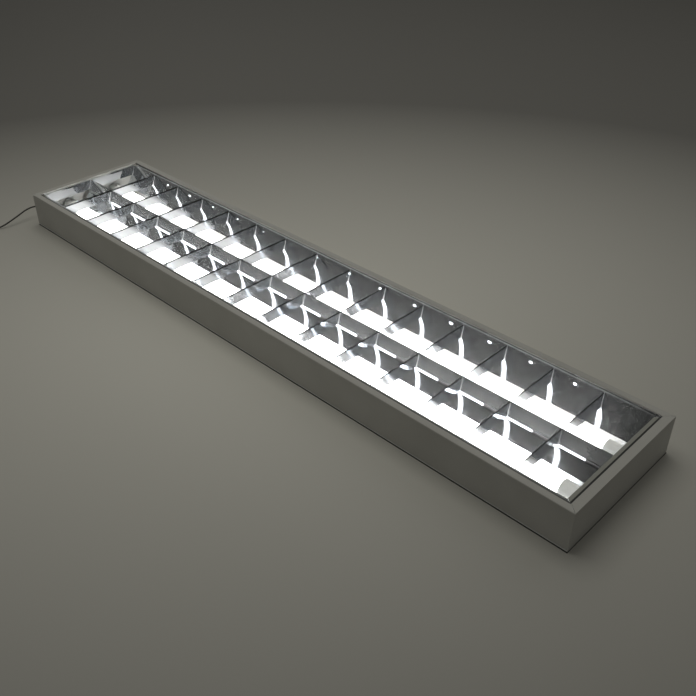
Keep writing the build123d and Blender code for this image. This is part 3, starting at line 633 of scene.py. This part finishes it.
steps = range(coil_turns * points_per_turn)
coil_points = [coil_point((step + 0.5) / points_per_turn) for step in steps]
tail_level = coil_level + (coil_layers - 1) * coil_pitch
tail = [
    (coil_start[0], coil_centre[1], tail_level),
    (coil_start[0], coil_centre[1] - lead_diameter, tail_level),
]
print(len(lead_route) + len(coil_points) + len(tail), "points")

# %% [markdown]
# ### Curve of the lead
#
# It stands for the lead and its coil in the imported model, and lies on the same route.

# %% The lead
lead_curve = bpy.data.curves.new("lead", "CURVE")
lead_curve.dimensions = "3D"
lead_curve.bevel_depth = lead_diameter / 2 * mm
lead_curve.bevel_resolution = 6
lead_curve.resolution_u = 6
lead_curve.use_fill_caps = True
spline = lead_curve.splines.new("NURBS")
lead_points = [*lead_route, *coil_points, *tail]
spline.points.add(len(lead_points) - 1)
for place, point in zip(spline.points, lead_points):
    place.co = (point[0] * mm, point[1] * mm, point[2] * mm, 1)
spline.order_u = 3
spline.use_endpoint_u = True
lead = bpy.data.objects.new("lead", lead_curve)
bpy.context.scene.collection.objects.link(lead)
lead_curve.materials.append(finishes["lead_sheath"])
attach(lead, "housing")
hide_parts("supply_lead", "lead_coil")
lead_length = spline.calc_length()
print("lead", round(lead_length, 3), "m")

# %% [markdown]
# ## Floor and light
#
# A matt table top with a painted oval pool of light, and a painted contact shadow round
# the tray.

# %% Floor
floor_size = 16.0
floor_mesh = bpy.data.meshes.new("floor")
corner = floor_size / 2
signs = ((-1, -1), (1, -1), (1, 1), (-1, 1))
corners = [(across * corner, along * corner, 0) for across, along in signs]
floor_mesh.from_pydata(corners, [], [(0, 1, 2, 3)])
floor = bpy.data.objects.new("floor", floor_mesh)
bpy.context.scene.collection.objects.link(floor)
pool_place = (0.01, -0.03, 0)
pool_turn = 2.33
pool_size = (1.12, 1.53, 1)
contact_shadow = (620.9 * mm, 125.1 * mm)  # painted contact shadow where the tray meets the surface


def table_top():
    """Pale and a little warm, with a painted pool of light: darker away from an oval, and
    a painted contact shadow.
    """
    material, tree, shader = nodes_for("table_top")
    place = tree.nodes.new("ShaderNodeTexCoord")
    oval = tree.nodes.new("ShaderNodeMapping")
    oval.vector_type = "TEXTURE"
    oval.inputs["Location"].default_value = pool_place
    oval.inputs["Rotation"].default_value = (0, 0, pool_turn)
    oval.inputs["Scale"].default_value = pool_size
    tree.links.new(place.outputs["Object"], oval.inputs["Vector"])
    apart = tree.nodes.new("ShaderNodeVectorMath")
    apart.operation = "LENGTH"
    tree.links.new(oval.outputs["Vector"], apart.inputs[0])
    # painted pool of light: darker away from the oval's middle
    fall = spread(tree, apart.outputs["Value"], 0.0, 1.0, 0.0, 1.0)
    surface = mixed(tree, fall, (0.935, 0.92, 0.85), (0.20, 0.195, 0.182))
    x, y, z = coordinates(tree)
    # painted contact shadow: nearly black under and along the tray's edges
    along = sums(tree, "LESS_THAN", size_of(tree, x), contact_shadow[0])
    beside = sums(tree, "LESS_THAN", size_of(tree, y), contact_shadow[1])
    surface = mixed(tree, every(tree, along, beside), surface, (0.02, 0.02, 0.02))
    tree.links.new(surface, shader.inputs["Base Color"])
    shader.inputs["Roughness"].default_value = 0.6
    return material


floor_mesh.materials.append(table_top())
print("floor", floor_size, "m across")

# %% [markdown]
# ### Room
#
# A soft even room, a broad lamp overhead and a weak, wide panel on the far side.  The
# light's own tubes do the rest.  A panel's energy follows from its radiance:
# `radiance * pi * width * depth`.

# %% Room and lamp
room_strength = 0.075
world = bpy.data.worlds.new("room")
world.use_nodes = True
background = world.node_tree.nodes["Background"]
background.inputs["Color"].default_value = (1.0, 0.99, 0.93, 1)
background.inputs["Strength"].default_value = room_strength
bpy.context.scene.world = world


def panel(name, place, towards, width, depth, radiance, colour):
    """A soft rectangular light of a given radiance."""
    data = bpy.data.lights.new(name, "AREA")
    data.shape = "RECTANGLE"
    data.size = width
    data.size_y = depth
    data.energy = radiance * pi * width * depth
    data.color = colour
    light = bpy.data.objects.new(name, data)
    light.location = place
    light.rotation_mode = "QUATERNION"
    light.rotation_quaternion = (Vector(towards) - Vector(place)).to_track_quat("-Z", "Y")
    bpy.context.scene.collection.objects.link(light)


panel("ceiling", (-0.5, 0.1, 2.3), (-0.5, 0.1, 0), 1.8, 1.8, 1.12, (1.0, 0.985, 0.90))
panel("wall", (-2.2, 2.6, 2.3), (-2.2, 0, 0.3), 8.0, 2.4, 0.22, (1.0, 0.985, 0.92))
bpy.context.scene.view_settings.view_transform = "Standard"
print("room at", room_strength)
